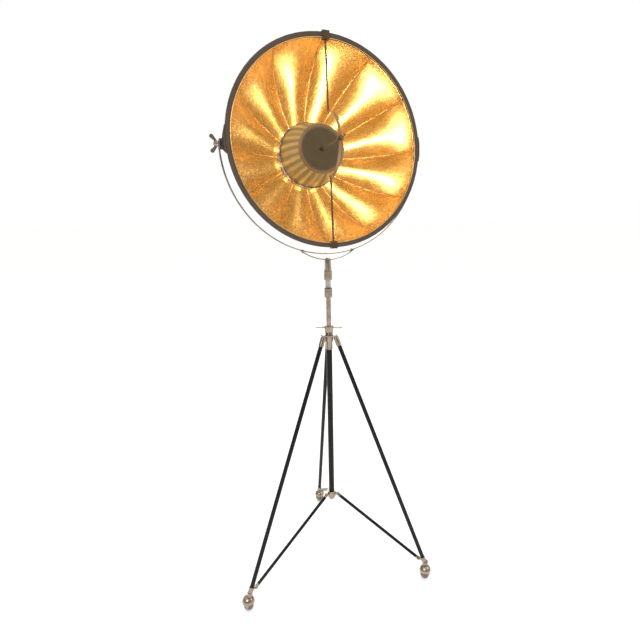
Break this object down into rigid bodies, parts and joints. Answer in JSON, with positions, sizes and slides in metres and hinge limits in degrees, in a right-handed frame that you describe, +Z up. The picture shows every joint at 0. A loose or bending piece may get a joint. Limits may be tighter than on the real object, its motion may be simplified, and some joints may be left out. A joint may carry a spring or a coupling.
{
  "type": "tripod floor lamp",
  "caption": "Rolling tripod floor lamp: sliding pole, flat-bar yoke and a deep gored gold-lined reflector shade with a central glare bell on a cross rod.",
  "frame": {"origin": "centre of the lamp's bounding box on the floor; the column stands at x 0.0278 m, y -0.0785 m", "axes": "+Z up along the column; the shade faces -Y and its tilt pivots lie along X"},
  "size_m": [0.8655, 0.806, 2.2717],
  "materials": {
    "black_tube": "gloss black stove enamel",
    "warm_nickel": "warm polished nickel",
    "raw_steel": "brushed steel",
    "bronze_trim": "dark bronze lacquer",
    "bell_metal": "polished spun aluminium with a champagne tint",
    "bell_brown": "matt brown enamel on spun aluminium",
    "mirror_ring": "hammered mirror chrome",
    "shade_black": "black cloth",
    "gold_leaf": "gold leaf laid on cloth",
    "holder_black": "black phenolic",
    "alu_black": "black lacquered spun aluminium",
    "bulb_glass": "opal glass, lit from inside",
    "wheel_steel": "satin steel ball wheel"
  },
  "bodies": {
    "base": {"column_tube": "black_tube", "column_ferrule": "warm_nickel", "column_end_cap": "warm_nickel", "crown": "warm_nickel", "collet_body": "raw_steel", "spider_hub": "warm_nickel", "leg_tube_1": "black_tube", "leg_tube_2": "black_tube", "leg_tube_3": "black_tube", "leg_top_ferrule_1": "warm_nickel", "leg_top_ferrule_2": "warm_nickel", "leg_top_ferrule_3": "warm_nickel", "foot_ferrule_1": "warm_nickel", "foot_ferrule_2": "warm_nickel", "foot_ferrule_3": "warm_nickel", "strut_tube_1": "black_tube", "strut_tube_2": "black_tube", "strut_tube_3": "black_tube", "strut_ends": "warm_nickel", "base_screws": "raw_steel"},
    "collet": {"collet_nut": "warm_nickel"},
    "pole": {"pole_tube": "warm_nickel", "pole_barrel": "warm_nickel", "pan_spigot": "raw_steel"},
    "yoke": {"pan_collar": "warm_nickel", "yoke_stud": "warm_nickel", "saddle_nut": "raw_steel", "yoke_saddle": "warm_nickel", "yoke_bar": "warm_nickel", "saddle_rivets": "raw_steel"},
    "pan_lock": {"pan_lock_screw": "raw_steel"},
    "shade": {"pivot_spacers": "holder_black", "pivot_studs": "raw_steel", "rim_hoop": "bronze_trim", "rim_pads": "bronze_trim", "shade_skin": "shade_black", "shade_lining": "gold_leaf", "shade_ribs": "black_tube", "back_cap": "alu_black", "cord_gland": "raw_steel", "lamp_socket": "holder_black", "bulb_base": "raw_steel", "bulb_glass": "bulb_glass", "cross_rod": "bronze_trim", "rod_clips": "bronze_trim", "rod_bow": "bronze_trim", "focus_bushing": "raw_steel"},
    "wing_left": {"wing_nut_left": "warm_nickel"},
    "thumb_nut": {"thumb_nut_right": "warm_nickel"},
    "bell": {"focus_stem": "bronze_trim", "bell_cap": "bell_brown", "bell_skirt": "bell_metal", "bell_ring": "mirror_ring"},
    "focus_wing": {"focus_nut": "bronze_trim"},
    "caster_1": {"caster_hood_1": "warm_nickel"},
    "wheel_1": {"caster_wheel_1": "wheel_steel"},
    "caster_2": {"caster_hood_2": "warm_nickel"},
    "wheel_2": {"caster_wheel_2": "wheel_steel"},
    "caster_3": {"caster_hood_3": "warm_nickel"},
    "wheel_3": {"caster_wheel_3": "wheel_steel"}
  },
  "joints": [
    {"name": "pole_height", "type": "slide", "parent": "base", "child": "pole", "axis": [0, 0, 1], "range_m": [-0.11, 0.45]},
    {"name": "collet_turn", "type": "hinge", "parent": "base", "child": "collet", "pos_m": [0.0278, -0.0785, 1.157], "axis": [0, 0, 1], "range_deg": [0, 150]},
    {"name": "head_pan", "type": "hinge", "parent": "pole", "child": "yoke", "pos_m": [0.0278, -0.0785, 1.39], "axis": [0, 0, 1], "range_deg": [-175, 175]},
    {"name": "pan_lock_turn", "type": "hinge", "parent": "yoke", "child": "pan_lock", "pos_m": [0.03127, -0.0588, 1.385], "axis": [0.1736, 0.9848, 0], "range_deg": [0, 270]},
    {"name": "shade_tilt", "type": "hinge", "parent": "yoke", "child": "shade", "pos_m": [0.0278, -0.0785, 1.875], "axis": [-1, 0, 0], "range_deg": [-50, 80]},
    {"name": "wing_left_turn", "type": "hinge", "parent": "shade", "child": "wing_left", "pos_m": [-0.3772, -0.0785, 1.875], "axis": [-1, 0, 0], "range_deg": [0, 180]},
    {"name": "thumb_nut_turn", "type": "hinge", "parent": "shade", "child": "thumb_nut", "pos_m": [0.4288, -0.0785, 1.875], "axis": [1, 0, 0], "range_deg": [0, 180]},
    {"name": "bell_focus", "type": "slide", "parent": "shade", "child": "bell", "axis": [0, -0.9966, 0.0819], "range_m": [-0.004, 0.06]},
    {"name": "focus_nut_turn", "type": "hinge", "parent": "shade", "child": "focus_wing", "pos_m": [0.0278, -0.24516, 1.89823], "axis": [0, -0.9966, 0.0819], "range_deg": [0, 180]},
    {"name": "caster_1_swivel", "type": "hinge", "parent": "base", "child": "caster_1", "pos_m": [-0.40137, -0.23555, 0.075], "axis": [0, 0, 1], "continuous": true},
    {"name": "wheel_1_roll", "type": "hinge", "parent": "caster_1", "child": "wheel_1", "pos_m": [-0.40672, -0.23284, 0.02], "axis": [0.4524, 0.8918, 0], "continuous": true},
    {"name": "caster_2_swivel", "type": "hinge", "parent": "base", "child": "caster_2", "pos_m": [0.37839, -0.37164, 0.075], "axis": [0, 0, 1], "continuous": true},
    {"name": "wheel_2_roll", "type": "hinge", "parent": "caster_2", "child": "wheel_2", "pos_m": [0.37568, -0.37699, 0.02], "axis": [-0.8918, 0.4524, 0], "continuous": true},
    {"name": "caster_3_swivel", "type": "hinge", "parent": "base", "child": "caster_3", "pos_m": [0.10637, 0.37169, 0.075], "axis": [0, 0, 1], "continuous": true},
    {"name": "wheel_3_roll", "type": "hinge", "parent": "caster_3", "child": "wheel_3", "pos_m": [0.10909, 0.37705, 0.02], "axis": [0.8918, -0.4524, 0], "continuous": true}
  ]
}
